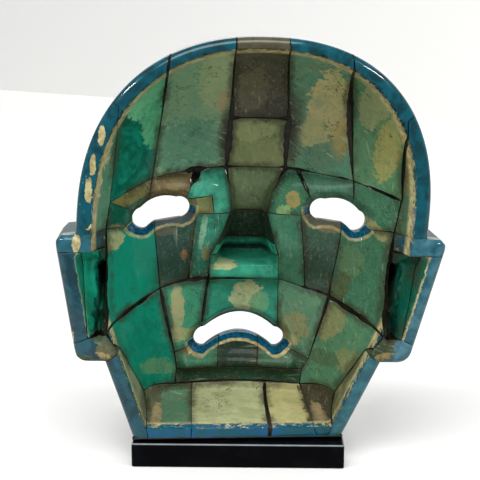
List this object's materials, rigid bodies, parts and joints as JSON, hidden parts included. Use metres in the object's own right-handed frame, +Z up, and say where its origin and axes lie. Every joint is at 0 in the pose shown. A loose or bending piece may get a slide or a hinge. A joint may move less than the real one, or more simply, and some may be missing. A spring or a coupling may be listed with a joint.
{
  "type": "stone mosaic mask on a stone base",
  "caption": "Hollow carved stone mask of glued mosaic tiles with open eyes and mouth, standing upright on a low polished stone base.",
  "frame": {"origin": "centre of the base's underside", "axes": "+Z up; the face looks along -Y and the hollow back opens along +Y; +X is the wearer's left"},
  "size_m": [0.1647, 0.0765, 0.1801],
  "materials": {
    "emerald_stone": "lacquered, glossy",
    "sage_stone": "lacquered, glossy",
    "olive_stone": "lacquered, glossy",
    "teal_stone": "lacquered, glossy",
    "brown_stone": "lacquered, glossy",
    "dark_green_stone": "lacquered, glossy",
    "cream_stone": "lacquered, glossy",
    "ochre_stone": "lacquered, glossy",
    "blue_rim_stone": "lacquered, glossy, with a ground cream edge",
    "black_stone": "polished, mirror-like",
    "dark_resin": "hard glossy epoxy resin"
  },
  "bodies": {
    "root": {"base_block": "black_stone", "base_epoxy": "dark_resin", "resin_joints": "dark_resin", "crown_tile": "brown_stone", "brow_centre_tile": "olive_stone", "glabella_tile": "olive_stone", "left_forehead_tile": "sage_stone", "left_temple_tile": "emerald_stone", "left_side_tile": "teal_stone", "right_forehead_tile": "sage_stone", "right_temple_tile": "teal_stone", "right_side_tile": "teal_stone", "nose_ridge_tile": "dark_green_stone", "nose_base_tile": "teal_stone", "philtrum_tile": "teal_stone", "upper_lip_tile": "emerald_stone", "left_socket_tile": "teal_stone", "left_eye_corner_tile": "olive_stone", "left_lid_tile": "ochre_stone", "left_outer_lid_tile": "olive_stone", "left_outer_eye_tile": "emerald_stone", "left_nose_side_tile": "teal_stone", "left_under_eye_tile": "dark_green_stone", "left_cheek_tile": "emerald_stone", "left_smile_tile": "teal_stone", "left_jaw_tile": "emerald_stone", "right_socket_tile": "teal_stone", "right_lid_tile": "teal_stone", "right_outer_eye_tile": "teal_stone", "right_nose_side_tile": "sage_stone", "right_under_eye_tile": "dark_green_stone", "right_cheek_tile": "teal_stone", "right_smile_tile": "sage_stone", "right_jaw_tile": "olive_stone", "lower_lip_left_tile": "teal_stone", "lower_lip_centre_tile": "brown_stone", "lower_lip_right_tile": "teal_stone", "chin_front_tile": "dark_green_stone", "chin_left_tile": "brown_stone", "chin_centre_tile": "cream_stone", "chin_right_tile": "cream_stone", "chin_corner_tile": "ochre_stone", "left_jaw_rim_tile": "blue_rim_stone", "right_jaw_rim_tile": "blue_rim_stone", "left_ear_top_tile": "blue_rim_stone", "left_ear_side_tile": "emerald_stone", "left_ear_face_tile": "dark_green_stone", "left_ear_floor_tile": "brown_stone", "right_ear_top_tile": "blue_rim_stone", "right_ear_side_tile": "emerald_stone", "right_ear_face_tile": "dark_green_stone", "right_ear_floor_tile": "ochre_stone"}
  },
  "joints": []
}
